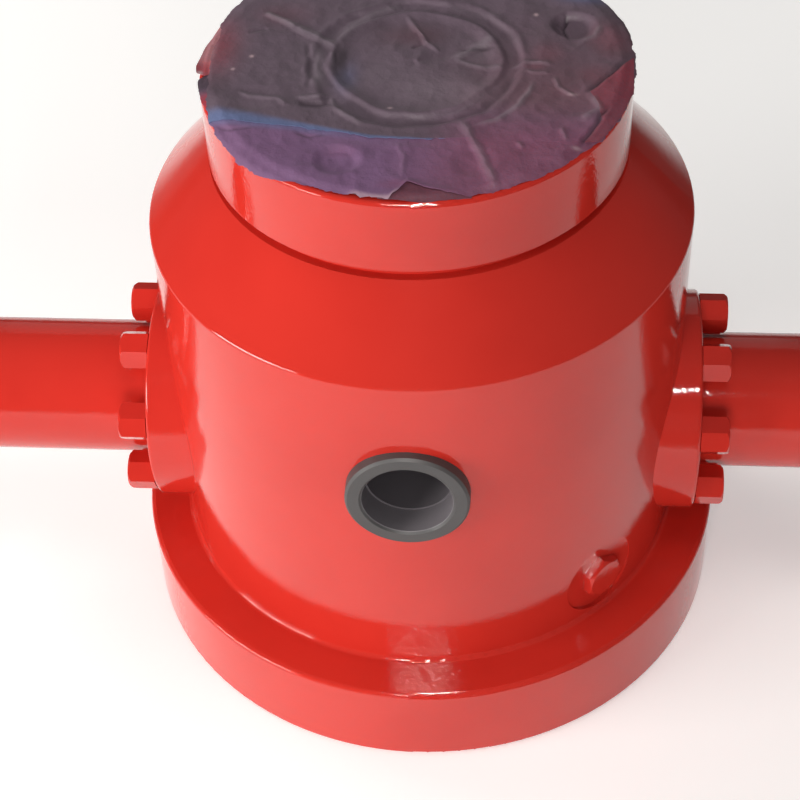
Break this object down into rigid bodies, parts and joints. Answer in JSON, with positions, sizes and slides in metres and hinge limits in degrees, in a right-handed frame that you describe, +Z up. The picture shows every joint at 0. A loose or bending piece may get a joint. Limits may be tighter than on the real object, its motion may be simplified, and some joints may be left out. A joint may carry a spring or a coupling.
{
  "type": "sucker rod blowout preventer",
  "caption": "Round red steel blowout preventer for sucker rods: flanged barrel, coned shoulder, studded top under masking film, side outlets and a bolted ram housing on either side.",
  "frame": {"origin": "centre of the bottom flange's lower face, on the floor", "axes": "+Z up the well bore, +X along the ram axis, -Y towards the outlet that the picture shows"},
  "size_m": [0.803, 0.381, 0.3968],
  "materials": {
    "red_paint": "gloss",
    "dark_bushing": "matte black phosphate",
    "bare_steel": "machined",
    "seal_rubber": "matte",
    "film": "crinkled film"
  },
  "bodies": {
    "root": {"body": "red_paint", "front_outlet_bushing": "dark_bushing", "front_port_plug": "red_paint", "rear_outlet_bushing": "dark_bushing", "rear_port_plug": "red_paint", "left_bonnet": "red_paint", "left_bonnet_bolt_1": "red_paint", "left_bonnet_bolt_2": "red_paint", "left_bonnet_bolt_3": "red_paint", "left_bonnet_bolt_4": "red_paint", "left_bonnet_bolt_5": "red_paint", "left_bonnet_bolt_6": "red_paint", "left_bonnet_bolt_7": "red_paint", "left_bonnet_bolt_8": "red_paint", "left_ram_tube": "red_paint", "left_end_cap": "red_paint", "left_gland_nut": "red_paint", "left_ram_screw": "bare_steel", "left_ram": "bare_steel", "left_ram_seal": "seal_rubber", "right_bonnet": "red_paint", "right_bonnet_bolt_1": "red_paint", "right_bonnet_bolt_2": "red_paint", "right_bonnet_bolt_3": "red_paint", "right_bonnet_bolt_4": "red_paint", "right_bonnet_bolt_5": "red_paint", "right_bonnet_bolt_6": "red_paint", "right_bonnet_bolt_7": "red_paint", "right_bonnet_bolt_8": "red_paint", "right_ram_tube": "red_paint", "right_end_cap": "red_paint", "right_gland_nut": "red_paint", "right_ram_screw": "bare_steel", "right_ram": "bare_steel", "right_ram_seal": "seal_rubber", "masking_film": "film"}
  },
  "joints": []
}
